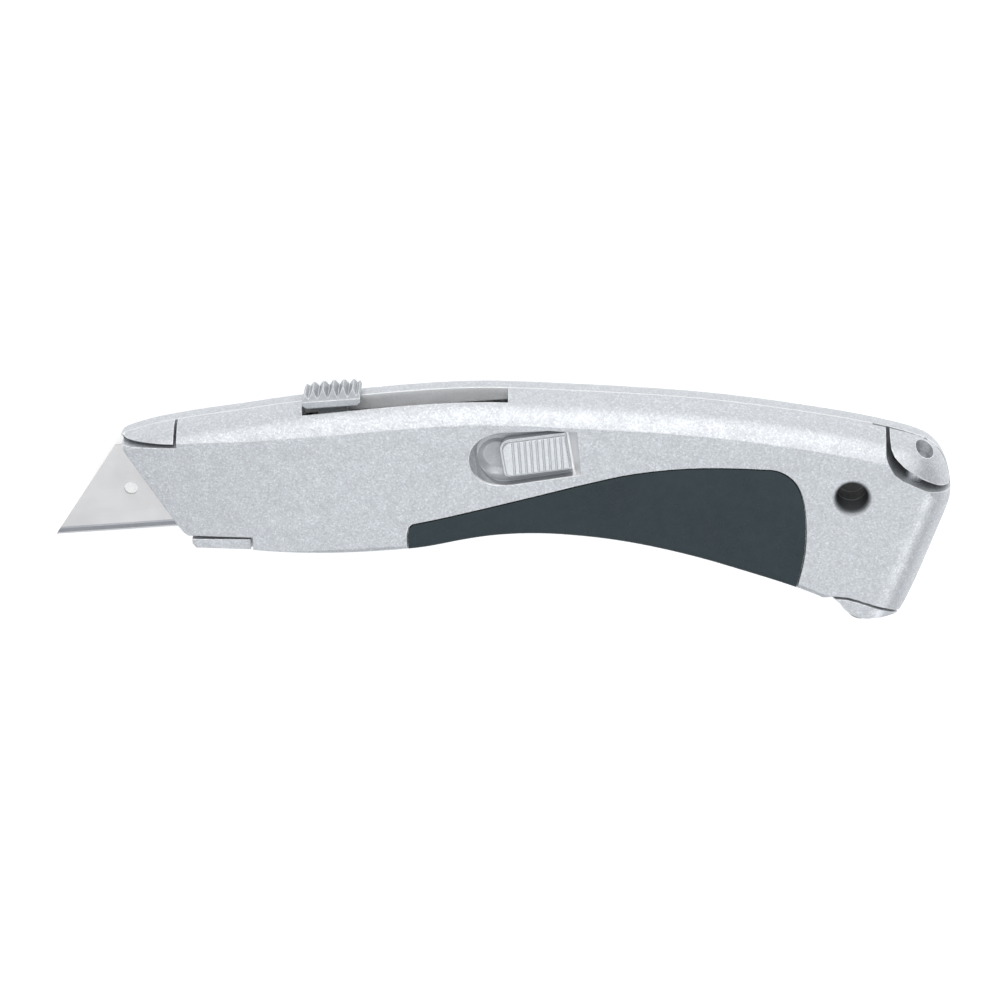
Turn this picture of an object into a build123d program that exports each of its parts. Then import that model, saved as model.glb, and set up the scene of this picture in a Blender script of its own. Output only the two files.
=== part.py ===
from build123d import *
import math
import os

# Retractable utility knife with a swing-open side, modelled lying on its far side.
# Working frame: X along the knife (blade towards -X), Y towards the spine,
# Z across the thickness with the parting plane of the two shells at Z = 0.
# The finished solids are shifted by OFFSET into the part's own frame.

os.makedirs("parts", exist_ok=True)

# ---------------------------------------------------------------- dimensions
T2 = 7.6                 # half thickness of the closed handle
BLADE_L, BLADE_H, BLADE_T, BLADE_SLANT = 61.0, 18.9, 0.6, 14.46
TIP = (-89.59, -7.59)    # cutting tip with the blade fully out
SLIDE_DEG = 4.34         # blade slides along its own cutting edge
TRAVEL = 28.8            # blade travel
PRESS = 0.5              # thumb button travel
LATCH_TRAVEL = 3.0       # release button travel
LATCH_DEG = 8.0
PIN_A = (84.34, 12.97)   # hinge pin axis, upper end, at Z = PIN_Z
PIN_B = (71.46, -23.55)  # hinge pin axis, lower end
PIN_Z = 3.2
PIN_R = 2.0
KNUCKLE_R = 2.06
LANYARD = (70.08, 4.14)
LANYARD_R = 3.1
CARRIER_Z = (-3.2, -0.34)
SHOULDER_R = (0.6, 0.45, 0.3, 0.2)   # rounding of the crease under the spine
OFFSET = (-0.110, -0.432, 7.6)

SL_C, SL_S = math.cos(math.radians(SLIDE_DEG)), math.sin(math.radians(SLIDE_DEG))
_dx, _dy = PIN_A[0] - PIN_B[0], PIN_A[1] - PIN_B[1]
_len = math.hypot(_dx, _dy)
AX = (_dx / _len, _dy / _len)       # hinge axis direction
AN = (AX[1], -AX[0])                # towards the rear, square to the axis


# ---------------------------------------------------------------- helpers
def poly(pts):
    return make_face(Polyline(*[(p[0], p[1]) for p in pts], close=True))


def prism(face, z0, z1):
    return Pos(0, 0, z0) * extrude(face, amount=z1 - z0, dir=(0, 0, 1))


def block(x0, x1, y0, y1, z0, z1):
    return Pos((x0 + x1) / 2, (y0 + y1) / 2, (z0 + z1) / 2) * Box(x1 - x0, y1 - y0, z1 - z0)


def slide(shape):
    # local frame: X along the cutting edge from the tip, Y up from the edge
    return Pos(TIP[0], TIP[1], 0) * Rot(0, 0, SLIDE_DEG) * shape


def latch(shape):
    return Pos(6.1, 13.2, 0) * Rot(0, 0, LATCH_DEG) * shape


HP = Plane(origin=(PIN_A[0], PIN_A[1], PIN_Z), x_dir=(AN[0], AN[1], 0), z_dir=(AX[0], AX[1], 0))


def hcyl(r, s0, s1):
    return HP * (Pos(0, 0, s0) * Cylinder(r, s1 - s0, align=(Align.CENTER, Align.CENTER, Align.MIN)))


def hrev(rs):
    # solid of revolution about the hinge axis from (radius, station) points
    f = make_face(Polyline(*[(r, 0, s) for r, s in rs], close=True))
    return HP * revolve(f, axis=Axis.Z)


def one(s):
    if isinstance(s, (list, ShapeList)):
        s = Compound(children=list(s))
    sol = s.solids()
    return max(sol, key=lambda q: q.volume)


# ---------------------------------------------------------------- outer form
TOP = [(-76.6, 13.95), (-74.51, 15.15), (-71.46, 16.25), (-68.41, 17.13), (-64.18, 18.01), (-59.35, 18.89),
       (-51.33, 20.1), (-43.3, 21.41), (-30.0, 23.0), (-15.39, 24.4), (-3.49, 24.95), (8.38, 24.62), (20.24, 23.98),
       (32.1, 23.2), (43.95, 22.05), (55.8, 20.4), (63.71, 19.08), (71.62, 17.6), (77.6, 16.2),
       (82.6, 14.7), (86.0, 12.9), (88.2, 10.1), (89.3, 6.8), (90.3, 1.5)]
path = Spline((-81.5, 10.4), *TOP)

sec_plane = Plane(origin=path @ 0, x_dir=(0, 0, 1), z_dir=path % 0)
# section coordinates: x across the thickness, y along the outward normal
ysgn = 1.0 if sec_plane.y_dir.Y > 0 else -1.0
W0, G0 = T2, 4.7
sec_edges = [
    Bezier((W0, -ysgn * G0), (6.35, -ysgn * 2.7), (4.4, 0), (0, 0)),
    Bezier((0, 0), (-5.5, 0), (-7.0, -ysgn * 1.9), (-W0, -ysgn * G0)),
    Line((-W0, -ysgn * G0), (-W0 - 1.6, -ysgn * (G0 + 2.4))),
    Line((-W0 - 1.6, -ysgn * (G0 + 2.4)), (-W0 - 1.6, ysgn * 9.0)),
    Line((-W0 - 1.6, ysgn * 9.0), (W0 + 1.6, ysgn * 9.0)),
    Line((W0 + 1.6, ysgn * 9.0), (W0 + 1.6, -ysgn * (G0 + 2.4))),
    Line((W0 + 1.6, -ysgn * (G0 + 2.4)), (W0, -ysgn * G0)),
]
dome_cut = sweep(sections=sec_plane * make_face(sec_edges), path=path)

BELLY = [(-49.3, -7.84), (-41.9, -8.42), (-32.9, -8.5), (-26.9, -8.25), (-20.8, -7.8), (-14.8, -7.1), (-8.8, -5.85),
         (-2.8, -4.75), (3.2, -4.2), (9.2, -4.15), (15.1, -4.55), (21.0, -5.25), (30.0, -6.95), (36.0, -8.45),
         (42.0, -10.2), (48.0, -12.2), (54.0, -14.25), (60.0, -16.5), (63.5, -18.0)]
LOWLUG = [(63.5, -18.0), (65.2, -19.0), (67.0, -20.4), (69.0, -22.0), (71.0, -23.3), (73.4, -23.95), (76.0, -24.1),
          (77.8, -23.95), (78.9, -23.35)]
REAR = [(78.9, -23.35), (80.4, -21.6), (82.3, -17.96), (84.1, -14.35), (85.55, -10.74), (86.8, -7.15), (87.95, -3.57),
        (88.95, 0.0), (89.6, 3.0), (90.35, 7.0), (91.2, 12.0)]
outline = [
    Spline(*BELLY), Spline(*LOWLUG), Spline(*REAR),
    Polyline(REAR[-1], (93, 19), (80, 23), (60, 26), (20, 30), (-20, 30), (-60, 25), (-80, 19), (-77.2, 12.6),
             (-76.4, 14.35), (-75.3, 14.72)),
    Line((-75.3, 14.72), (-64.25, -2.64)),
    Polyline((-64.25, -2.64), (-62.9, -4.35), (-61.45, -5.2), (-61.4, -6.6), (-60.7, -7.45), (-49.3, -7.84)),
]
raw = extrude(make_face(outline), amount=T2, dir=(0, 0, 1), both=True)


def bottom_edge(e):
    c = e.center()
    return abs(abs(c.Z) - T2) < 1e-3 and c.Y < -3.2 and e.length > 3 and -48 < c.X < 78 and c.Y > -25


try:
    raw_f = fillet([e for e in raw.edges() if bottom_edge(e)], 1.3)
    if raw_f.is_valid:
        raw = raw_f
    else:
        print("belly fillet invalid, left sharp")
except Exception as ex:
    print("belly fillet skipped", ex)

# plan shape: taper towards the nose, drawn in X-Z and swept through Y
PLAN = [(-30, 7.6), (-40, 7.47), (-50, 7.06), (-60, 6.39), (-68, 5.66), (-73, 5.1)]
plan_edges = [
    Spline(*[(x, z) for x, z in PLAN]),
    Spline((-73, 5.1), (-75.2, 4.45), (-76.6, 2.9), (-77.1, 0), (-76.6, -2.9), (-75.2, -4.45), (-73, -5.1)),
    Spline(*[(x, -z) for x, z in reversed(PLAN)]),
    Polyline((-30, -7.6), (-25, -7.7), (95, -7.7), (95, 7.7), (-25, 7.7), (-30, 7.6)),
]
plan_face = Plane(origin=(0, 0, 0), x_dir=(1, 0, 0), z_dir=(0, -1, 0)) * make_face(plan_edges)
plan_keep = extrude(plan_face, amount=45, dir=(0, 1, 0), both=True)

# rear end: a full half round whose axis runs with the rear edge
RD = (math.sin(math.radians(20.0)), math.cos(math.radians(20.0)))
RN = (RD[1], -RD[0])
RC = (87.45 - T2 * RN[0], -5.4 - T2 * RN[1])
RPL = Plane(origin=(RC[0], RC[1], 0), x_dir=(RN[0], RN[1], 0), z_dir=(RD[0], RD[1], 0))
d_face = make_face([Polyline((0, T2), (-260, T2), (-260, -T2), (0, -T2)), ThreePointArc((0, -T2), (T2, 0), (0, T2))])
rear_keep = RPL * extrude(d_face, amount=130, dir=(0, 0, 1), both=True)

hull = raw & plan_keep
hull = hull & rear_keep
hull = hull - dome_cut
hull = one(hull)


def shoulder_edge(e):
    # long crease between the domed spine and each flat side
    c = e.center()
    return abs(c.Z) > 4.8 and c.Y > 12.0 and e.length > 25


def soften(body, radii):
    for r in radii:
        try:
            soft = fillet([e for e in body.edges() if shoulder_edge(e)], r)
            if soft.is_valid and 0 < body.volume - soft.volume < 300:
                print("shoulder rounding", r)
                return one(soft)
        except Exception as ex:
            pass
    print("shoulder left sharp")
    return body


hull = soften(hull, SHOULDER_R)
print("hull", hull.is_valid, round(hull.volume), hull.bounding_box())

# ---------------------------------------------------------------- regions
below = block(-130, 130, -60, 60, -30, 0)
above = block(-130, 130, -60, 60, 0, 30)

nose_region = poly([(-82, 13.0), (-76.0, 14.55), (-74.6, 15.0), (-64.35, 15.25), (-64.35, 24), (-82, 24)])
nose_gap = poly([(-84, 11.9), (-76.0, 13.75), (-74.6, 14.15), (-63.75, 14.4), (-63.75, 26), (-84, 26)])
lug_up = poly([(77.5, 24), (77.5, 15.5), (77.75, 13.9), (78.4, 12.6), (80.2, 10.85), (82.56, 9.15), (84.9, 7.6),
               (87.4, 5.95), (89.3, 5.1), (94, 3.75), (94, 24)])
pocket_up = poly([(76.75, 26), (76.7, 13.6), (76.75, 12.8), (77.0, 11.9), (77.6, 10.7), (78.35, 9.25), (80.1, 7.85),
                  (83.2, 6.3), (85.3, 5.35), (88.6, 4.2), (94, 2.5), (94, 26)])
lug_low = hrev([(0, -34.6), (4.0, -34.6), (5.5, -34.75), (7.5, -35.4), (8.6, -36.2), (8.6, -70), (0, -70)])
lug_dome = hrev([(0, -38.9), (2.2, -38.7), (3.6, -38.0), (4.9, -36.9), (6.4, -35.9), (7.6, -35.3), (9.6, -34.6), (9.6, 20), (0, 20)]) + below
pocket_low = hrev([(0, -34.05), (4.2, -34.05), (5.8, -34.2), (8.0, -34.95), (9.2, -35.75), (9.6, -70), (0, -70)])
hook_keep = block(-61.6, -49.75, -12, -5.62, -0.5, 6.35) + block(-50.0, -49.4, -12, -5.62, -0.5, 5.3)
hook_gap = block(-75, -49.25, -12, -4.85, -0.01, 30)

scoop = hcyl(9.2, -36.35, -5.3) & (HP * block(-4.6, 12, -20, 20, -60, 10)) & block(40, 120, -60, 40, -30, 0.5)

# blade path shared by both shells
blade_slot = slide(block(9, 90.7, -0.35, 19.3, -0.42, 0.42))
tower_way_far = slide(block(53.3, 94.0, 14.0, 22.9, -3.5, 0.01))
tower_way_near = slide(block(53.3, 94.0, 17.5, 22.9, -0.01, 4.4))
thumb_slot = slide(block(52.95, 93.9, 20, 32, -0.01, 4.4))
lanyard_bore = Pos(LANYARD[0], LANYARD[1], 0) * Cylinder(LANYARD_R, 30)
pin_bore_lug = hcyl(PIN_R, -60, 20)
pin_bore_knuckle = hcyl(KNUCKLE_R, -60, 20)


def rounded_mouth(zsign):
    # bell mouth of the lanyard hole, 0.95 mm radius
    r = 0.95
    z = zsign * T2
    prof = make_face([Line((LANYARD_R - 0.2, 0, z - zsign * r), (LANYARD_R, 0, z - zsign * r)),
                      ThreePointArc((LANYARD_R, 0, z - zsign * r),
                                    (LANYARD_R + r * (1 - math.cos(math.pi / 4)), 0, z - zsign * r * (1 - math.sin(math.pi / 4))),
                                    (LANYARD_R + r, 0, z)),
                      Polyline((LANYARD_R + r, 0, z), (LANYARD_R + r, 0, z + zsign * 0.5), (LANYARD_R - 0.2, 0, z + zsign * 0.5),
                               (LANYARD_R - 0.2, 0, z - zsign * r))])
    return Pos(LANYARD[0], LANYARD[1], 0) * revolve(prof, axis=Axis.Z)


# grip inlay outline (side view); the lower boundary runs off the belly
GRIP = [(-18.43, -12.0), (-18.4, -4.1), (-18.0, -2.3), (-17.2, -1.62)]
GRIP_TOP = [(-17.2, -1.62), (-5.66, 1.13), (0.34, 2.72), (8.31, 4.85), (14.28, 6.5), (20.24, 8.05), (25.19, 9.2),
            (30.13, 10.0), (36.05, 10.6), (41.97, 10.82), (47.89, 10.72), (53.2, 10.45)]
GRIP_REAR = [(53.2, 10.45), (56.4, 9.7), (58.74, 7.77), (60.2, 4.9), (61.0, 0.47), (61.2, -3.97), (60.85, -8.88),
             (60.1, -12.91), (58.9, -17.5), (57.0, -24.0)]


def grip_outline(front, top, rear):
    return make_face([Polyline(*front), Spline(*top), Spline(*rear),
                      Polyline(rear[-1], (front[0][0], -24.0), front[0])])


def inset(pts, d):
    # moves each point of a clockwise outline inwards by d
    res = []
    for i, p in enumerate(pts):
        q0, q1 = pts[max(i - 1, 0)], pts[min(i + 1, len(pts) - 1)]
        tx, ty = q1[0] - q0[0], q1[1] - q0[1]
        n = math.hypot(tx, ty)
        res.append((p[0] + d * ty / n, p[1] - d * tx / n))
    return res


GROOVE = 0.28            # shadow gap round the rubber inlay
grip_pocket_face = grip_outline(GRIP, GRIP_TOP, GRIP_REAR)
_all = inset(GRIP_TOP + GRIP_REAR[1:], GROOVE)
_top, _rear = _all[:len(GRIP_TOP)], _all[len(GRIP_TOP) - 1:]
grip_face = grip_outline([(-18.15, -12.0), (-18.12, -4.15), (-17.8, -2.6), _top[0]], _top, _rear)
GRIP_Z = 6.5

# ---------------------------------------------------------------- right shell (far side)
far = hull & below
nose = hull & prism(nose_region, -10, 10)
hook = hull & hook_keep
upper_lug = hull & prism(lug_up, -10, 10) & hcyl(8.7, -20, 12)
lower_lug = hull & lug_low & lug_dome
right_shell = far - scoop
right_shell = right_shell + nose
right_shell = right_shell + hook
right_shell = right_shell + upper_lug
right_shell = right_shell + lower_lug

# carriage channel, tower way, blade slot, spare blade pocket, weight pockets
carriage_way = slide(block(32.1, 105.3, 0.7, 18.9, -3.5, 0.01))
SPARE_C, SPARE_DEG = (33.6, 5.4), -8.5


def spare(shape):
    return Pos(SPARE_C[0], SPARE_C[1], 0) * Rot(0, 0, SPARE_DEG) * shape


spare_pocket = spare(prism(poly([(-31.3, -9.85), (31.3, -9.85), (16.3, 9.85), (-16.3, 9.85)]), -5.4, 0.01))
rear_pocket = prism(poly([(20, 20.6), (33, 20.0), (48, 18.6), (62.5, 15.9), (63.6, 4), (63.6, -12.5), (58, -12.6),
                          (46, -8.2), (32, -3.9), (20, -1.8)]), -3.4, 0.01)
for cut in (carriage_way, tower_way_far, blade_slot, spare_pocket, rear_pocket, lanyard_bore, rounded_mouth(-1),
            pin_bore_lug):
    right_shell = right_shell - cut
grip_cut_far = prism(grip_pocket_face, -9, -GRIP_Z)
right_shell = right_shell - grip_cut_far

# catch post for the release latch, standing on the solid spine of this shell
post = block(9.0, 11.6, 19.5, 21.7, -0.6, 3.6) + block(7.9, 11.6, 19.5, 21.7, 2.65, 3.6)
right_shell = right_shell + post
for su, sv in ((59.5, 10.0), (86.2, 10.0)):
    right_shell = right_shell - slide(Pos(su, sv, -4.9) * Cylinder(0.72, 3.4))
right_shell = right_shell - spare(Pos(26.6, 6.3, -4.3) * Cylinder(0.92, 3.4))
right_shell = one(right_shell)
print("right_shell", right_shell.is_valid, round(right_shell.volume))

# ---------------------------------------------------------------- left shell (near side, swings open)
left_shell = hull & above
for cut in (prism(nose_gap, -1, 12), hook_gap, prism(pocket_up, -1, 12), pocket_low):
    left_shell = left_shell - cut
# tail stays inside the sweep radius of the pin
tail_trim = (HP * block(0, 30, -20, 20, -60, 20)) - hcyl(8.9, -60, 20)
left_shell = left_shell - tail_trim
left_shell = left_shell & above

front_pocket = prism(poly([(-56, 12.6), (-40, 15.0), (-40, -3.2), (-56, -2.4)]), -0.01, 4.3)
mid_pocket = prism(poly([(-38.6, 14.6), (-22, 14.9), (-22, -4.6), (-38.6, -4.6)]), -0.01, 5.4)
mid_pocket2 = prism(poly([(-20.6, 14.6), (-8.5, 15.4), (-8.5, 1.2), (-13, -1.6), (-20.6, -3.4)]), -0.01, 4.5)
latch_room = latch(block(-12.0, 10.4, -6.4, 4.9, -0.01, 4.0))
arm_room = block(2.6, 14.2, 17.4, 22.3, -0.01, 4.4)
rear_room = prism(poly([(19, 20.4), (33, 19.8), (48, 18.4), (62.5, 15.7), (63.6, 4), (63.6, -9.8), (58, -10.4),
                        (46, -5.6), (32, -1.6), (19, 1.6)]), -0.01, 4.4)
for cut in (blade_slot, tower_way_near, thumb_slot, front_pocket, mid_pocket, mid_pocket2, latch_room, arm_room,
            rear_room, lanyard_bore, rounded_mouth(1), pin_bore_knuckle):
    left_shell = left_shell - cut
grip_cut_near = prism(grip_pocket_face, GRIP_Z, 9)
left_shell = left_shell - grip_cut_near

# thumb recess of the release button, local latch frame
REC = [(-10.15, 1.5), (-9.0, 4.25), (-6.7, 6.0), (-3.3, 6.1), (4.8, 5.4), (10.4, 4.2), (9.8, -5.3), (-0.3, -5.45),
       (-5.1, -5.6), (-8.2, -4.6), (-9.9, -1.4)]
rec_face = make_face([Spline((4.8, 5.2), (-3.3, 5.95), (-6.9, 5.75), (-9.3, 3.9), (-10.2, 0.4), (-9.3, -3.0), (-7.0, -5.1),
                             (-4.0, -5.6), (-0.3, -5.5), tangents=((-1, 0.05), (1, 0.02))),
                      Polyline((-0.3, -5.5), (9.7, -5.3), (10.3, 4.0), (4.8, 5.2))])
rec_floor = 5.55
rec_in = latch(Pos(0, 0, rec_floor) * extrude(rec_face, amount=6, dir=(0, 0, 1)))
ramp = latch(Plane(origin=(0, 0, 0), x_dir=(1, 0, 0), z_dir=(0, -1, 0)) * extrude(
    poly([(-30, rec_floor - 0.2), (8.3, rec_floor - 0.2), (10.9, T2 + 0.05), (10.9, 12), (-30, 12)]), amount=20, dir=(0, 0, 1), both=True))
left_shell = left_shell - (rec_in & ramp)
# scooped thumb lead-in at the front of the recess
scoop_ball = latch(Pos(-6.2, 0.2, 10.3) * Sphere(6.2))
left_shell = left_shell - (scoop_ball & block(-30, 30, -30, 40, 4.75, 12))
stem_window = latch(block(-4.6, 5.6, -2.3, 2.3, 3.5, 7))
left_shell = left_shell - stem_window
left_shell = one(left_shell)
print("left_shell", left_shell.is_valid, round(left_shell.volume))

# ---------------------------------------------------------------- hinge
hinge_pin = hcyl(1.99, -39.35, -1.5)
try:
    low = [e for e in hinge_pin.edges() if (HP.to_local_coords(e.center())).Z < -39]
    hinge_pin = fillet(low, 0.7)
    top = [e for e in hinge_pin.edges() if (HP.to_local_coords(e.center())).Z > -2]
    hinge_pin = fillet(top, 0.25)
except Exception as ex:
    print("pin fillet skipped", ex)
thrust_washer = hcyl(3.8, -34.55, -34.1) - hcyl(2.03, -40, -30)

# ---------------------------------------------------------------- grips
left_grip = hull & prism(grip_face, GRIP_Z, 9)
right_grip = hull & prism(grip_face, -9, -GRIP_Z)

# ---------------------------------------------------------------- blade
blade_face = poly([(0, 0), (BLADE_L, 0), (BLADE_L - BLADE_SLANT, BLADE_H), (35.6, BLADE_H), (35.6, 16.8), (33.4, 16.8),
                   (33.4, BLADE_H), (27.6, BLADE_H), (27.6, 16.8), (25.4, 16.8), (25.4, BLADE_H), (BLADE_SLANT, BLADE_H)])
blade = prism(blade_face, -BLADE_T / 2, BLADE_T / 2)
for hx in (16.4, BLADE_L - 16.4):
    blade = blade - Pos(hx, 9.16, 0) * Cylinder(1.35, 4)
BEV, EDGE = 1.25, 0.02
for sg in (1, -1):
    wedge = poly([(-0.5, sg * EDGE), (BEV, sg * BLADE_T / 2), (BEV, sg * 1.5), (-0.5, sg * 1.5)])
    wedge = Plane(origin=(0, 0, 0), x_dir=(0, 1, 0), z_dir=(1, 0, 0)) * wedge
    blade = blade - extrude(wedge, amount=70, dir=(1, 0, 0), both=True)
blade = slide(blade)

# ---------------------------------------------------------------- blade carrier
carrier = block(32.5, 76.0, 1.2, 18.3, *CARRIER_Z)
carrier = carrier - block(30, 80, 7.8, 12.2, -4, -1.9)
carrier = carrier - block(66, 73, 2.8, 6.2, -4, 1) - block(66, 73, 13.6, 16.8, -4, 1)
carrier = carrier + block(33.5, 35.5, 16.9, 18.3, -1.0, 0.34)
carrier = carrier + block(54.2, 64.2, 14.5, 22.5, -3.2, 0.28) + block(54.2, 64.2, 18.9, 22.5, 0, 3.5)
carrier = carrier - block(55.8, 62.2, 19.3, 30, 0.75, 2.75)
carrier = carrier - Pos(45, 4.5, 0) * Cylinder(2.55, 3.9)
blade_carrier = slide(one(carrier))
blade_magnet = slide(Pos(45, 4.5, -1.1) * Cylinder(2.5, 1.5))

# ---------------------------------------------------------------- detent rail, its screws, index spring
rail = block(58, 92, 8.4, 11.6, -3.5, -3.05)
for nu in (62.0, 71.6, 81.2, 90.8):
    rail = rail - block(nu - 0.9, nu + 0.9, 9.1, 10.9, -4, -2)
for su in (59.5, 86.2):
    rail = rail - Pos(su, 10, -3.2) * Cylinder(1.02, 2)
detent_rail = slide(one(rail))
rail_screws = []
for su in (59.5, 86.2):
    sc = Pos(su, 10, -3.29) * Cylinder(1.0, 0.42) + Pos(su, 10, -4.8) * Cylinder(0.7, 2.7)
    sc = sc - block(su - 1.2, su + 1.2, 9.87, 10.13, -3.22, -3.0)
    rail_screws.append(slide(one(sc)))
leaf_pts = [(75.2, -2.2), (68, -2.2), (64.2, -2.55), (62.6, -3.2), (61.6, -3.2), (60.6, -2.6)]
leaf_low = [(x, z) for x, z in leaf_pts]
leaf_up = [(x + (0.12 if i > 1 else 0), z + 0.25) for i, (x, z) in enumerate(leaf_pts)]
leaf = Plane(origin=(0, 0, 0), x_dir=(1, 0, 0), z_dir=(0, -1, 0)) * poly(leaf_low + list(reversed(leaf_up)))
index_spring = slide(Pos(0, 10.0, 0) * extrude(leaf, amount=0.8, dir=(0, 1, 0), both=True))

# ---------------------------------------------------------------- thumb button
RIBS = [(53.2, 26.9), (53.75, 28.0), (54.5, 27.4), (55.3, 28.45), (56.3, 27.3), (57.3, 28.55), (58.3, 27.3), (59.3, 28.6),
        (60.3, 27.3), (61.3, 28.55), (62.3, 27.3), (63.25, 28.35), (64.0, 27.45), (64.5, 27.95), (64.75, 27.2)]
btn = prism(poly(RIBS + [(64.65, 26.2), (64.0, 25.62), (53.9, 25.62), (53.25, 26.2)]), -3.1, 3.8)
arch = make_face([ThreePointArc((-3.1, 28.25), (0.2, 28.6), (3.8, 27.0)), Polyline((3.8, 27.0), (3.8, 25), (-3.1, 25), (-3.1, 28.25))])
arch = Plane(origin=(0, 0, 0), x_dir=(0, 0, 1), z_dir=(-1, 0, 0)) * arch
btn = btn & extrude(arch, amount=120, dir=(1, 0, 0), both=True)
btn = btn - block(50, 70, 20, 26.98, -5, 0.22)
btn = btn + block(56, 62, 20.5, 26.4, 0.9, 2.6)
thumb_button = slide(one(btn))
tbs = Plane(origin=(59, 19.33, 1.75), z_dir=(0, 1, 0)) * (Cylinder(0.82, 1.14, align=(Align.CENTER, Align.CENTER, Align.MIN))
                                                      - Cylinder(0.45, 1.14, align=(Align.CENTER, Align.CENTER, Align.MIN)))
thumb_button_spring = slide(tbs)

# ---------------------------------------------------------------- release latch
rb_low = block(-5.3, 8.0, -3.9, 4.1, 5.65, 7.1)
rb_top = block(-4.9, 7.9, -3.5, 3.7, 5.65, 7.95)
try:
    def corner(b, up):
        return [e for e in b.edges().filter_by(Axis.Z) if e.center().X < 0 and (e.center().Y > 0) == up]
    rb_low = fillet(corner(rb_low, True), 2.1)
    rb_low = fillet(corner(rb_low, False), 1.0)
    rb_top = fillet(corner(rb_top, True), 1.8)
    rb_top = fillet(corner(rb_top, False), 0.8)
    rb_top = fillet([e for e in rb_top.edges() if abs(e.center().Z - 7.95) < 1e-3], 0.3)
except Exception as ex:
    print("button rounding skipped", ex)
rb = one(rb_low) + one(rb_top)
for k in range(9):
    cx = -2.9 + 1.2 * k
    rb = rb - Pos(cx, 0, 8.25) * Rot(0, 0, -5) * Rot(0, 45, 0) * Box(0.85, 12, 0.85)
rb = rb + block(-1.4, 5.4, -2.05, 2.05, 2.52, 5.8)
for su in (0.0, 4.0):
    rb = rb - Pos(su, 0, 3.2) * Cylinder(0.82, 3.2)
release_button = latch(one(rb))
lp = latch(block(-6.4, 8.6, -2.6, 4.4, 1.5, 2.5) + block(-4.0, -2.8, -6.0, -2.5, 1.0, 3.4)
           + block(-4.0, -2.8, -2.6, -2.2, 1.0, 2.5))
lp = lp + block(5.9, 8.75, 14.5, 21.4, 1.5, 2.5)
for su in (0.0, 4.0):
    lp = lp - latch(Pos(su, 0, 2) * Cylinder(0.9, 4))
latch_plate = one(lp)
latch_screws = []
for su in (0.0, 4.0):
    sc = Pos(su, 0, 1.12) * Cylinder(1.4, 0.74) + Pos(su, 0, 3.0) * Cylinder(0.8, 3.2)
    sc = sc - block(su - 1.6, su + 1.6, -0.15, 0.15, 0.5, 1.0)
    latch_screws.append(latch(one(sc)))
lsp = Plane(origin=(-11.9, -4.4, 2.2), z_dir=(1, 0, 0)) * (Cylinder(1.35, 7.8, align=(Align.CENTER, Align.CENTER, Align.MIN))
                                                       - Cylinder(0.95, 7.8, align=(Align.CENTER, Align.CENTER, Align.MIN)))
latch_spring = latch(lsp)

# ---------------------------------------------------------------- spare blades and their clip
sb_face = poly([(-30.5, -9.45), (30.5, -9.45), (16.04, 9.45), (5.1, 9.45), (5.1, 7.35), (2.9, 7.35), (2.9, 9.45),
                (-2.9, 9.45), (-2.9, 7.35), (-5.1, 7.35), (-5.1, 9.45), (-16.04, 9.45)])
spare_blades = []
for k in range(3):
    z0 = -5.38 + 0.6 * k
    sb = prism(sb_face, z0, z0 + 0.58)
    for hx in (14.1, -14.1):
        sb = sb - Pos(hx, -0.29, z0) * Cylinder(1.35, 4)
    spare_blades.append(spare(one(sb)))
clip = prism(poly([(28.6, 8.0), (25.6, 9.0), (6.0, 0.5), (7.4, -3.2), (27.2, 4.2)]), -3.4, -3.05)
clip = clip - Pos(26.6, 6.3, -3) * Cylinder(0.92, 3)
spare_clip = spare(one(clip))
spare_clip_screw = spare(Pos(26.6, 6.3, -2.65) * Cylinder(1.6, 0.8) + Pos(26.6, 6.3, -4.4) * Cylinder(0.9, 2.9))
spare_clip_screw = spare_clip_screw - spare(block(24.8, 28.4, 6.12, 6.48, -2.5, -2.0))

# ---------------------------------------------------------------- write the solids
NODES = {
    "right_shell": right_shell, "left_shell": left_shell, "hinge_pin": hinge_pin, "thrust_washer": thrust_washer,
    "left_grip": left_grip, "right_grip": right_grip, "blade": blade, "blade_carrier": blade_carrier,
    "blade_magnet": blade_magnet, "detent_rail": detent_rail, "detent_rail_screws": rail_screws,
    "index_spring": index_spring, "thumb_button": thumb_button, "thumb_button_spring": thumb_button_spring,
    "release_button": release_button, "latch_plate": latch_plate, "latch_screws": latch_screws,
    "latch_spring": latch_spring, "spare_blades": spare_blades, "spare_clip": spare_clip,
    "spare_clip_screw": spare_clip_screw,
}
lo, hi = [1e9] * 3, [-1e9] * 3
for name, shape in NODES.items():
    if isinstance(shape, list):
        out = Compound(children=[Pos(*OFFSET) * one(s) for s in shape])
    else:
        out = Pos(*OFFSET) * one(shape)
    if not out.is_valid:
        print("INVALID", name)
    bb = out.bounding_box()
    for i, (a, b) in enumerate(((bb.min.X, bb.max.X), (bb.min.Y, bb.max.Y), (bb.min.Z, bb.max.Z))):
        lo[i], hi[i] = min(lo[i], a), max(hi[i], b)
    export_step(out, "parts/%s.step" % name)
print("box", [round(v, 3) for v in lo], [round(v, 3) for v in hi])
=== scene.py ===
import bpy, bmesh, math, random
from mathutils import Vector, Matrix

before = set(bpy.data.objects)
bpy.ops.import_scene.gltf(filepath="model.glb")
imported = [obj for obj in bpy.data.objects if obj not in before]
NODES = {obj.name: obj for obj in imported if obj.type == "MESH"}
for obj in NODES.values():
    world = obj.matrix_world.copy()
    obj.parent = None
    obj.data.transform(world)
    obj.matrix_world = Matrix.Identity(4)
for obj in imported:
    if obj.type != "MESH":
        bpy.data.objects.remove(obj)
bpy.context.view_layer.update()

random.seed(7)
MM = 0.001
# CAD drawing frame (mm, centred on the split plane) to the row frame (m)
OX, OY, OZ = -0.110, -0.432, 7.6


def P(x, y, z):
    return Vector(((x + OX) * MM, (y + OY) * MM, (z + OZ) * MM))


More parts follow.
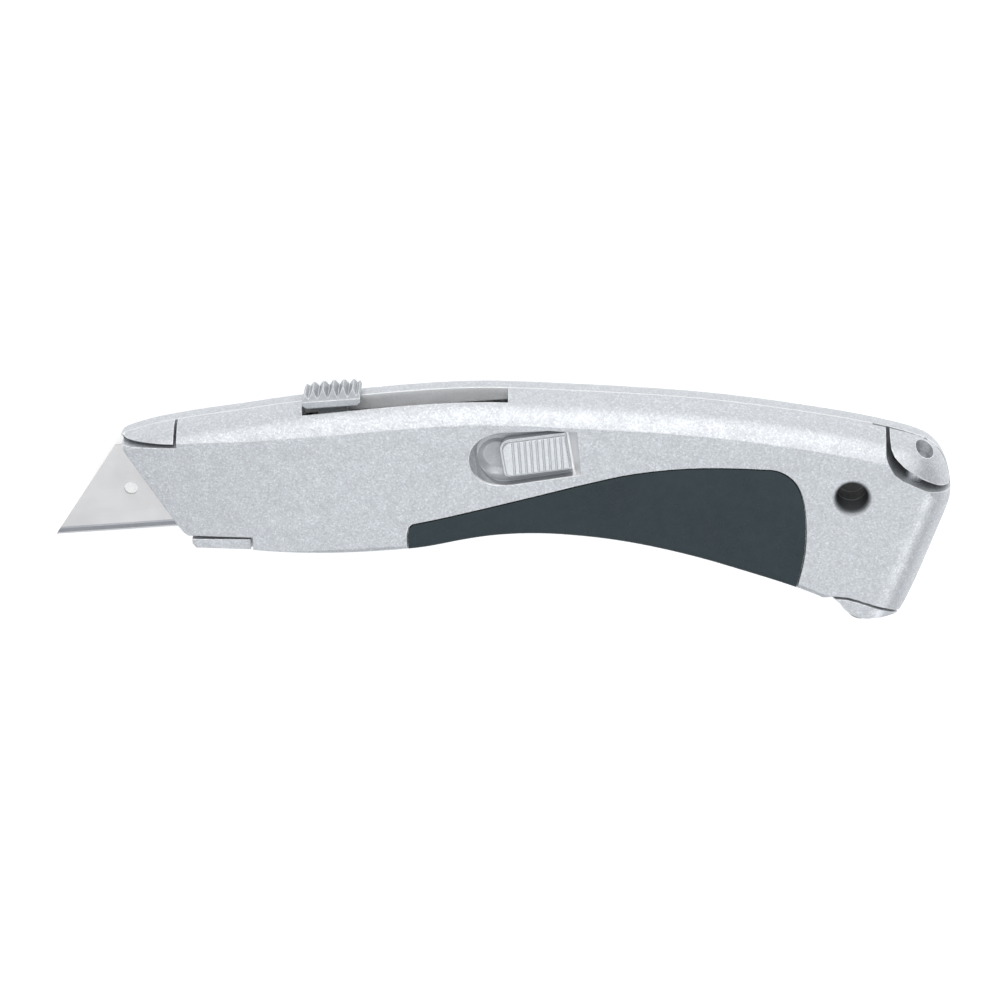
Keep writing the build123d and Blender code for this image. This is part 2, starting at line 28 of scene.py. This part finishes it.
# ------------------------------------------------------------------ node helpers
class NT:
    """A small builder for a material's node tree. Object coordinates are the row frame in metres."""

    def __init__(self, name):
        self.mat = bpy.data.materials.new(name)
        self.mat.use_nodes = True
        self.t = self.mat.node_tree
        self.t.nodes.clear()
        self.out = self.t.nodes.new("ShaderNodeOutputMaterial")
        self.bsdf = self.t.nodes.new("ShaderNodeBsdfPrincipled")
        self.t.links.new(self.bsdf.outputs[0], self.out.inputs["Surface"])
        self.co = self.t.nodes.new("ShaderNodeTexCoord").outputs["Object"]

    def n(self, kind, ins=None, **props):
        node = self.t.nodes.new("ShaderNode" + kind)
        for k, v in props.items():
            setattr(node, k, v)
        for k, v in (ins or {}).items():
            self.put(node.inputs[k], v)
        return node

    def put(self, sock, v):
        if isinstance(v, bpy.types.NodeSocket):
            self.t.links.new(v, sock)
        else:
            sock.default_value = v

    def math(self, op, a, b=None, c=None, clamp=False):
        node = self.n("Math", operation=op, use_clamp=clamp)
        for i, v in enumerate((a, b, c)):
            if v is not None:
                self.put(node.inputs[i], v)
        return node.outputs[0]

    def vmath(self, op, a, b=None, scale=None):
        node = self.n("VectorMath", operation=op)
        self.put(node.inputs[0], a)
        if b is not None:
            self.put(node.inputs[1], b)
        if scale is not None:
            self.put(node.inputs["Scale"], scale)
        return node.outputs["Value"] if op in ("DOT_PRODUCT", "LENGTH", "DISTANCE") else node.outputs["Vector"]

    def mm(self, scale=(1, 1, 1), rot=(0, 0, 0), loc=(0, 0, 0)):
        """Object coordinates in mm, turned by rot and then stretched by scale."""
        a = self.n("Mapping", {"Vector": self.co, "Scale": (1000, 1000, 1000), "Location": loc}, vector_type="POINT")
        if any(rot):
            a = self.n("Mapping", {"Vector": a.outputs[0], "Rotation": rot}, vector_type="TEXTURE")
        b = self.n("Mapping", {"Vector": a.outputs[0], "Scale": scale}, vector_type="POINT")
        return b.outputs[0]

    def noise(self, vec, scale, detail=2.0, rough=0.5, out="Fac", distortion=0.0):
        return self.n("TexNoise", {"Vector": vec, "Scale": scale, "Detail": detail, "Roughness": rough, "Distortion": distortion}).outputs[out]

    def voronoi(self, vec, scale, out="Color", feature="F1", rnd=1.0):
        return self.n("TexVoronoi", {"Vector": vec, "Scale": scale, "Randomness": rnd}, feature=feature).outputs[out]

    def ramp(self, fac, stops, interp="LINEAR"):
        node = self.n("ValToRGB", {"Fac": fac})
        r = node.color_ramp
        r.interpolation = interp
        while len(r.elements) < len(stops):
            r.elements.new(0.5)
        for e, (p, c) in zip(r.elements, stops):
            e.position = p
            e.color = (c, c, c, 1) if isinstance(c, (int, float)) else (*c, 1)
        return node.outputs["Color"]

    def mix(self, fac, a, b, blend="MIX"):
        node = self.n("Mix", data_type="RGBA", blend_type=blend)
        self.put(node.inputs[0], fac)
        self.put(node.inputs[6], a if isinstance(a, bpy.types.NodeSocket) else (*a, 1))
        self.put(node.inputs[7], b if isinstance(b, bpy.types.NodeSocket) else (*b, 1))
        return node.outputs[2]

    def rng(self, v, a0, a1, b0, b1):
        return self.n("MapRange", {"Value": v, "From Min": a0, "From Max": a1, "To Min": b0, "To Max": b1}).outputs[0]

    def bump(self, height, dist_mm, strength=1.0, normal=None):
        ins = {"Height": height, "Distance": dist_mm * MM, "Strength": strength}
        if normal is not None:
            ins["Normal"] = normal
        return self.n("Bump", ins).outputs[0]

    def bevel(self, r_mm):
        return self.n("Bevel", {"Radius": r_mm * MM}, samples=6).outputs[0]

    def set(self, **kw):
        names = {"base": "Base Color", "metallic": "Metallic", "rough": "Roughness", "normal": "Normal", "ior": "IOR",
                 "spec": "Specular IOR Level", "coat": "Coat Weight", "coat_rough": "Coat Roughness", "sheen": "Sheen Weight",
                 "sheen_rough": "Sheen Roughness", "aniso": "Anisotropic", "tangent": "Tangent"}
        for k, v in kw.items():
            s = self.bsdf.inputs[names[k]]
            if isinstance(v, tuple) and len(v) == 3 and k == "base":
                v = (*v, 1)
            self.put(s, v)
        return self.mat


def srgb(r, g, b):
    f = lambda c: (c / 255 / 12.92) if c <= 10 else ((c / 255 + 0.055) / 1.055) ** 2.4
    return (f(r), f(g), f(b))


# ------------------------------------------------------------------ materials
def m_cast(name, tone, grain=1.0, sparkle=1.0, metallic=0.62, rough=0.46, seed=0.0, edge=0.30, shell=False, edge_wear_and_highlight=0.75):
    """Die-cast zinc under a fine silver metallic paint: flake grain, faint orange peel, edges painted brighter as
    rubbed paint and painted highlight.
    """
    m = NT(name)
    v = m.mm(loc=(seed, 2 * seed, 3 * seed))
    cloud = m.noise(v, 0.045, 3.0, 0.55)
    cells = m.voronoi(v, 3.4)
    sep = m.n("SeparateColor", {"Color": cells})
    cells2 = m.n("SeparateColor", {"Color": m.voronoi(v, 2.0)})
    fine = m.noise(v, 2.8, 3.0, 0.65)
    flake = m.math("POWER", sep.outputs[0], 5.0)
    dull = m.math("POWER", cells2.outputs[2], 6.0)
    base = tone
    lo = tuple(c * (1 - 0.14 * grain) for c in base)
    hi = tuple(min(1, c * (1 + 0.13 * grain)) for c in base)
    col = m.mix(m.rng(fine, 0.34, 0.66, 0, 1), lo, hi)
    col = m.mix(m.math("MULTIPLY", flake, 0.50 * sparkle), col, tuple(min(1, c * 1.55) for c in base))
    col = m.mix(m.math("MULTIPLY", dull, 0.24 * sparkle), col, tuple(c * 0.66 for c in base))
    col = m.mix(m.rng(cloud, 0.3, 0.7, 0.0, 0.10), col, tuple(c * 0.90 for c in base))
    # fine dark pits in the paint
    pits = m.math("GREATER_THAN", m.noise(v, 1.15, 1.0, 0.5), 0.735)
    col = m.mix(m.math("MULTIPLY", pits, 0.16 * grain), col, tuple(c * 0.55 for c in base))
    # edges painted near-white: partly rubbed-thin paint, partly painted highlight
    bev = m.bevel(edge)
    geo = m.n("NewGeometry").outputs["Normal"]
    worn_and_highlight = m.math("SUBTRACT", 1.0, m.vmath("DOT_PRODUCT", bev, geo))
    worn_and_highlight = m.rng(worn_and_highlight, 0.003, 0.05, 0.0, edge_wear_and_highlight)
    col = m.mix(m.math("MULTIPLY", worn_and_highlight, m.rng(m.noise(v, 0.9, 2.0), 0.35, 0.6, 0.55, 1.0)), col, (0.97, 0.97, 0.98))
    met = metallic
    rg = m.math("ADD", m.rng(m.noise(v, 0.35, 2.0), 0.3, 0.7, rough - 0.04, rough + 0.05), m.rng(sep.outputs[1], 0, 1, -0.06, 0.06))
    if shell:
        xyz = m.n("SeparateXYZ", {"Vector": m.co})
        X, Y, Z = xyz.outputs
        # the two castings meet on the spine: a thin painted highlight either side of the joint, and a dark joint line
        # along it
        dz = m.math("ABSOLUTE", m.math("SUBTRACT", Z, OZ * MM))
        up = m.n("SeparateXYZ", {"Vector": geo}).outputs
        seam_highlight = m.math("MULTIPLY", m.rng(dz, 0.00008, 0.00022, 1, 0), m.rng(up[1], 0.5, 0.75, 0, 1))
        gap = m.math("MULTIPLY", m.rng(dz, 0.00003, 0.00007, 1, 0), m.rng(up[1], 0.5, 0.75, 0, 1))
        col = m.mix(m.math("MULTIPLY", seam_highlight, 0.6), col, (1.0, 1.0, 1.0))
        col = m.mix(m.math("MULTIPLY", gap, 0.45), col, (0.20, 0.21, 0.22))
        # lanyard hole: bore painted near-black as painted shade, with two painted highlight rings at the steps
        cx, cy = (70.08 + OX) * MM, (4.14 + OY) * MM
        r = m.math("SQRT", m.math("ADD", m.math("POWER", m.math("SUBTRACT", X, cx), 2.0), m.math("POWER", m.math("SUBTRACT", Y, cy), 2.0)))
        bore_shade = m.math("MULTIPLY", m.rng(r, 0.00330, 0.00398, 1, 0), m.rng(dz, 0.0062, 0.0076, 1.0, 0.75))
        col = m.mix(m.math("MULTIPLY", bore_shade, 0.97), col, (0.028, 0.033, 0.037))
        ring = m.math("MULTIPLY", m.rng(m.math("ABSOLUTE", m.math("SUBTRACT", Z, (OZ + 2.1) * MM)), 0.0001, 0.0003, 1, 0), bore_shade)
        ring2_highlight = m.math("MULTIPLY", m.rng(m.math("ABSOLUTE", m.math("SUBTRACT", Z, (OZ - 1.7) * MM)), 0.0001, 0.00025, 1, 0), bore_shade)
        col = m.mix(m.math("MULTIPLY", m.math("MAXIMUM", ring, ring2_highlight), 0.8), col, (0.30, 0.33, 0.36))
        met = m.math("MULTIPLY", m.math("SUBTRACT", 1.0, bore_shade), metallic)
        # joint faces where the thumb slot shows them, painted near-white as painted light against the shade in the slot
        face = m.math("MULTIPLY", m.math("LESS_THAN", dz, 0.0002), m.math("GREATER_THAN", m.math("ABSOLUTE", up[2]), 0.9))
        face = m.math("MULTIPLY", face, m.math("GREATER_THAN", Y, 0.0178))
        slot_face_painted_light = m.mix(m.rng(fine, 0.3, 0.7, 0, 1), (0.90, 0.92, 0.93), (1.0, 1.0, 1.0))
        col = m.mix(m.math("MULTIPLY", face, 0.95), col, slot_face_painted_light)
        # floor of the thumb recess painted darker: painted shade
        ca, sa = math.cos(math.radians(8.0)), math.sin(math.radians(8.0))
        lx = m.math("SUBTRACT", m.vmath("DOT_PRODUCT", m.co, (ca, sa, 0)), (6.1 + OX) * MM * ca + (13.2 + OY) * MM * sa)
        ly = m.math("SUBTRACT", m.vmath("DOT_PRODUCT", m.co, (-sa, ca, 0)), -(6.1 + OX) * MM * sa + (13.2 + OY) * MM * ca)
        inx = m.math("MULTIPLY", m.math("GREATER_THAN", lx, -0.0106), m.math("LESS_THAN", lx, 0.0080))
        iny = m.math("LESS_THAN", m.math("ABSOLUTE", ly), 0.0066)
        over = m.math("MAXIMUM", m.math("SUBTRACT", lx, 0.0048), 0.0)
        under = m.math("LESS_THAN", m.math("ADD", ly, m.math("MULTIPLY", over, 0.22)), 0.00525)
        edge_y = m.math("MULTIPLY", iny, under)
        low = m.rng(Z, (OZ + 7.50) * MM, (OZ + 7.25) * MM, 0, 1)
        inz = m.math("MULTIPLY", low, m.math("GREATER_THAN", Z, (OZ + 4.0) * MM))
        recess_shade = m.math("MULTIPLY", m.math("MULTIPLY", inx, edge_y), inz)
        recess_shade_tone = m.mix(m.rng(cloud, 0.3, 0.7, 0, 1), tuple(c * 0.66 for c in base), tuple(c * 0.76 for c in base))
        col = m.mix(m.math("MULTIPLY", recess_shade, 0.8), col, recess_shade_tone)
        # painted highlight on the ramp behind the button and on the rim of the recess
        ramp_highlight = m.math("MULTIPLY", m.math("GREATER_THAN", lx, 0.0081), m.math("LESS_THAN", lx, 0.0110))
        ramp_highlight = m.math("MULTIPLY", m.math("MULTIPLY", ramp_highlight, edge_y), m.rng(Z, (OZ + 7.585) * MM, (OZ + 7.50) * MM, 0, 1))
        ramp_highlight = m.math("MULTIPLY", ramp_highlight, m.math("GREATER_THAN", Z, (OZ + 5.3) * MM))
        col = m.mix(m.math("MULTIPLY", ramp_highlight, 0.9), col, (0.98, 0.98, 0.985))
        rim_highlight = m.math("MULTIPLY", m.rng(Z, (OZ + 7.20) * MM, (OZ + 7.32) * MM, 0, 1), m.rng(Z, (OZ + 7.597) * MM, (OZ + 7.57) * MM, 0, 1))
        rim_highlight = m.math("MULTIPLY", rim_highlight, m.math("MULTIPLY", m.math("GREATER_THAN", lx, -0.0108), m.math("LESS_THAN", lx, 0.0112)))
        col = m.mix(m.math("MULTIPLY", m.math("MULTIPLY", rim_highlight, edge_y), 0.9), col, (0.90, 0.905, 0.91))
        # upward inner faces of the pocket round the hinge painted near-black: painted shade seen through the gap
        rx = m.math("GREATER_THAN", X, 0.0740)
        ins = m.math("MULTIPLY", m.math("LESS_THAN", Z, (OZ + 0.6) * MM), m.math("GREATER_THAN", up[2], 0.05))
        col = m.mix(m.math("MULTIPLY", m.math("MULTIPLY", ins, rx), 0.85), col, (0.10, 0.11, 0.12))
    peel = m.noise(v, 0.9, 2.0, 0.5)
    h = m.math("ADD", m.math("MULTIPLY", fine, 0.9), m.math("MULTIPLY", peel, 0.8))
    nrm = m.bump(h, 0.040 * grain, 0.6, bev)
    return m.set(base=col, metallic=met, rough=rg, normal=nrm, spec=0.5)


def m_rubber(name):
    """Moulded slate-grey rubber: spark-eroded mould texture, a dusty sheen and slightly polished high spots."""
    m = NT(name)
    v = m.mm()
    fine = m.noise(v, 3.4, 3.0, 0.6)
    peb = m.voronoi(v, 2.1, "Distance")
    cloud = m.noise(v, 0.06, 3.0, 0.5)
    col = m.mix(m.rng(fine, 0.3, 0.7, 0, 1), srgb(38, 48, 53), srgb(46, 58, 63))
    col = m.mix(m.rng(cloud, 0.35, 0.7, 0, 0.5), col, srgb(48, 60, 65))
    dust = m.math("GREATER_THAN", m.noise(v, 1.9, 1.0), 0.76)
    col = m.mix(m.math("MULTIPLY", dust, 0.12), col, srgb(120, 128, 132))
    h = m.math("ADD", m.math("MULTIPLY", fine, 0.6), m.math("MULTIPLY", peb, 0.55))
    nrm = m.bump(h, 0.05, 0.6, m.bevel(0.25))
    rg = m.rng(m.noise(v, 0.5, 2.0), 0.3, 0.7, 0.62, 0.74)
    return m.set(base=col, metallic=0.0, rough=rg, normal=nrm, spec=0.32)


def m_blade(name):
    """Hardened carbon steel strip: fine rolling lines along the blade, cross-ground bevel, a faint oil film."""
    m = NT(name)
    a = math.radians(4.34)
    long = m.mm(scale=(0.05, 6.0, 6.0), rot=(0, 0, a))
    cross = m.mm(scale=(7.0, 0.25, 0.25), rot=(0, 0, a))
    v = m.mm()
    lines = m.noise(long, 1.0, 4.0, 0.65)
    grind = m.noise(cross, 1.0, 4.0, 0.7)
    # distance above the cutting edge in mm, turned with the slide direction
    tip = P(-89.59, -7.59, 0)
    vv = m.math("SUBTRACT", m.vmath("DOT_PRODUCT", m.co, (-math.sin(a), math.cos(a), 0)), -math.sin(a) * tip.x + math.cos(a) * tip.y)
    bev = m.math("LESS_THAN", vv, 0.00165)
    edge = m.math("LESS_THAN", vv, 0.00035)
    col = m.mix(m.rng(lines, 0.35, 0.65, 0, 1), srgb(190, 189, 189), srgb(194, 193, 193))
    colb = m.mix(m.rng(grind, 0.35, 0.65, 0, 1), srgb(150, 152, 156), srgb(168, 170, 174))
    col = m.mix(bev, col, colb)
    col = m.mix(m.math("MULTIPLY", edge, 0.7), col, (0.86, 0.87, 0.88))
    spots = m.rng(m.noise(v, 0.22, 4.0, 0.6), 0.56, 0.72, 0, 0.10)
    col = m.mix(spots, col, srgb(176, 172, 166))
    rg = m.math("ADD", m.rng(lines, 0.3, 0.7, 0.30, 0.38), m.rng(m.noise(v, 0.12, 3.0), 0.35, 0.7, -0.03, 0.06))
    h = m.math("ADD", m.math("MULTIPLY", lines, m.math("SUBTRACT", 1.0, bev)), m.math("MULTIPLY", grind, bev))
    nrm = m.bump(h, 0.012, 0.5)
    return m.set(base=col, metallic=0.85, rough=rg, normal=nrm, spec=0.5)


def m_steel(name, tone, rough=0.28, lines=(0.3, 5.0, 5.0), dark=0.0, bevel=0.12, rot=(0, 0, 0)):
    """Turned or drawn steel: fine tool lines, small stains, edges painted brighter as wear and painted highlight."""
    m = NT(name)
    v = m.mm()
    ln = m.noise(m.mm(scale=lines, rot=rot), 1.0, 4.0, 0.65)
    st = m.noise(v, 0.4, 4.0, 0.6)
    col = m.mix(m.rng(ln, 0.35, 0.65, 0, 1), tuple(c * 0.90 for c in tone), tuple(min(1, c * 1.08) for c in tone))
    col = m.mix(m.rng(st, 0.50, 0.75, 0, 0.35), col, tuple(c * 0.62 for c in tone))
    bev = m.bevel(bevel)
    geo = m.n("NewGeometry").outputs["Normal"]
    # edges painted brighter: wear and painted highlight
    worn_and_highlight = m.rng(m.math("SUBTRACT", 1.0, m.vmath("DOT_PRODUCT", bev, geo)), 0.02, 0.2, 0, 0.5)
    col = m.mix(worn_and_highlight, col, tuple(min(1, c * 1.5 + 0.06) for c in tone))
    rg = m.rng(st, 0.3, 0.7, rough - 0.05, rough + 0.08)
    nrm = m.bump(ln, 0.012, 0.5, bev)
    return m.set(base=col, metallic=0.95, rough=rg, normal=nrm)


def m_plastic(name, tone, rough=0.42):
    """Moulded acetal: satin surface with fine mould grain, flow marks and rub lines where it slides."""
    m = NT(name)
    v = m.mm()
    g = m.noise(v, 3.0, 2.0, 0.6)
    flow = m.noise(m.mm(scale=(0.12, 0.5, 0.5)), 1.0, 3.0, 0.5)
    rub = m.noise(m.mm(scale=(0.08, 5.0, 5.0), rot=(0, 0, math.radians(4.34))), 1.0, 3.0, 0.6)
    col = m.mix(m.rng(flow, 0.3, 0.7, 0, 1), tuple(c * 0.9 for c in tone), tuple(min(1, c * 1.15) for c in tone))
    col = m.mix(m.rng(rub, 0.58, 0.75, 0, 0.4), col, tuple(min(1, c * 1.9 + 0.01) for c in tone))
    nrm = m.bump(m.math("ADD", g, m.math("MULTIPLY", rub, 0.4)), 0.02, 0.5, m.bevel(0.2))
    rg = m.rng(rub, 0.35, 0.7, rough, rough - 0.12)
    return m.set(base=col, metallic=0.0, rough=rg, normal=nrm, spec=0.5)


SILVER = srgb(190, 193, 197)
M = {}
M["cast"] = m_cast("paint_silver", SILVER, shell=True)
M["cast_btn"] = m_cast("cast_satin", srgb(202, 205, 208), grain=0.5, sparkle=0.4, metallic=0.55, rough=0.36, seed=3.0, edge=0.16)
M["cast_thumb"] = m_cast("cast_thumb", srgb(166, 170, 174), grain=0.6, sparkle=0.5, metallic=0.6, rough=0.38, seed=5.0, edge=0.30)
M["rubber"] = m_rubber("rubber_slate")
M["blade"] = m_blade("blade_ground")
M["steel"] = m_steel("steel_turned", srgb(186, 189, 192))
M["steel_dark"] = m_steel("steel_blackened", srgb(78, 82, 86), rough=0.4)
M["spring"] = m_steel("spring_wire", srgb(170, 172, 175), rough=0.24, lines=(4.0, 0.5, 4.0))
M["carrier"] = m_plastic("acetal_black", srgb(44, 46, 49))
M["magnet"] = m_steel("magnet_nickel", srgb(198, 196, 190), rough=0.2, lines=(2.0, 2.0, 2.0))


def give(mat, *nodes):
    for n in nodes:
        o = NODES[n]
        o.data.materials.clear()
        o.data.materials.append(mat)


give(M["cast"], "right_shell", "left_shell")
give(M["cast_btn"], "release_button")
give(M["cast_thumb"], "thumb_button")
give(M["rubber"], "right_grip", "left_grip")
give(M["blade"], "blade", "spare_blades")
give(M["steel"], "hinge_pin", "thrust_washer", "detent_rail", "latch_plate")
give(M["steel_dark"], "detent_rail_screws", "latch_screws", "spare_clip_screw")
give(M["spring"], "index_spring", "thumb_button_spring", "latch_spring", "spare_clip")
give(M["carrier"], "blade_carrier")
give(M["magnet"], "blade_magnet")

# ------------------------------------------------------------------ floor, light, camera
bm = bmesh.new()
R, SEG = 3.0, 48
ring = [bm.verts.new((R * math.cos(2 * math.pi * i / SEG), R * math.sin(2 * math.pi * i / SEG), 0)) for i in range(SEG)]
bm.faces.new(ring)
me = bpy.data.meshes.new("floor")
bm.to_mesh(me)
bm.free()
floor = bpy.data.objects.new("floor", me)
bpy.context.scene.collection.objects.link(floor)
floor.location.z = -0.00005
fm = NT("floor_white")
fv = fm.n("Mapping", {"Vector": fm.co, "Scale": (1, 1, 1)}).outputs[0]
fc = fm.mix(fm.rng(fm.noise(fv, 9.0, 3.0), 0.3, 0.7, 0, 1), (0.90, 0.90, 0.90), (0.93, 0.93, 0.93))
fm.set(base=fc, rough=0.9, spec=0.1)
fm.bsdf.inputs["Emission Color"].default_value = (1, 1, 1, 1)
fm.bsdf.inputs["Emission Strength"].default_value = 0.34
me.materials.append(fm.mat)

world = bpy.data.worlds.new("studio")
bpy.context.scene.world = world
world.use_nodes = True
wt = world.node_tree
wt.nodes.clear()
wo = wt.nodes.new("ShaderNodeOutputWorld")
wb = wt.nodes.new("ShaderNodeBackground")
wt.links.new(wb.outputs[0], wo.inputs[0])
wb.inputs["Color"].default_value = (0.945, 0.97, 1.0, 1)
wb.inputs["Strength"].default_value = 0.44


def area(name, loc, target, size, power, color=(1, 1, 1), size_y=None):
    l = bpy.data.lights.new(name, "AREA")
    l.energy = power
    l.color = color
    l.size = size
    if size_y:
        l.shape = "RECTANGLE"
        l.size_y = size_y
    o = bpy.data.objects.new(name, l)
    bpy.context.scene.collection.objects.link(o)
    o.location = loc
    d = Vector(target) - Vector(loc)
    o.rotation_euler = d.to_track_quat("-Z", "Y").to_euler()
    return o


area("spine_softbox", (0.05, 0.98, 0.70), (0, 0, 0), 1.3, 9.7, (1.0, 0.985, 0.965), 0.85)
area("overhead", (-0.15, -0.40, 1.20), (0, 0, 0), 0.9, 3.3, (0.97, 0.985, 1.0))
area("crease_strip", (0.0, 0.42, 1.10), (0, 0, 0), 1.5, 1.0, (1, 1, 1), 0.10)
area("rear_band", (0.61, -0.75, 0.79), (0.08, 0, 0.007), 0.9, 3.4, (1, 1, 1), 0.10)

cam_d = bpy.data.cameras.new("camera")
cam_d.lens = 182.2
cam_d.sensor_width = 36.0
cam_d.clip_start = 0.01
cam_d.clip_end = 20.0
cam = bpy.data.objects.new("camera", cam_d)
bpy.context.scene.collection.objects.link(cam)
cz = Vector((0.04215718, 0.44619781, 0.89394087)).normalized()
cx = Vector((0.99911099, -0.01882718, -0.03771956)).normalized()
cy = cz.cross(cx)
pos = Vector((-0.000110, -0.000432, 0.0076)) + cz * 1.0124
cam.matrix_world = Matrix(((cx.x, cy.x, cz.x, pos.x), (cx.y, cy.y, cz.y, pos.y), (cx.z, cy.z, cz.z, pos.z), (0, 0, 0, 1)))
bpy.context.scene.camera = cam
bpy.context.scene.view_settings.view_transform = "Standard"
bpy.context.scene.view_settings.look = "None"
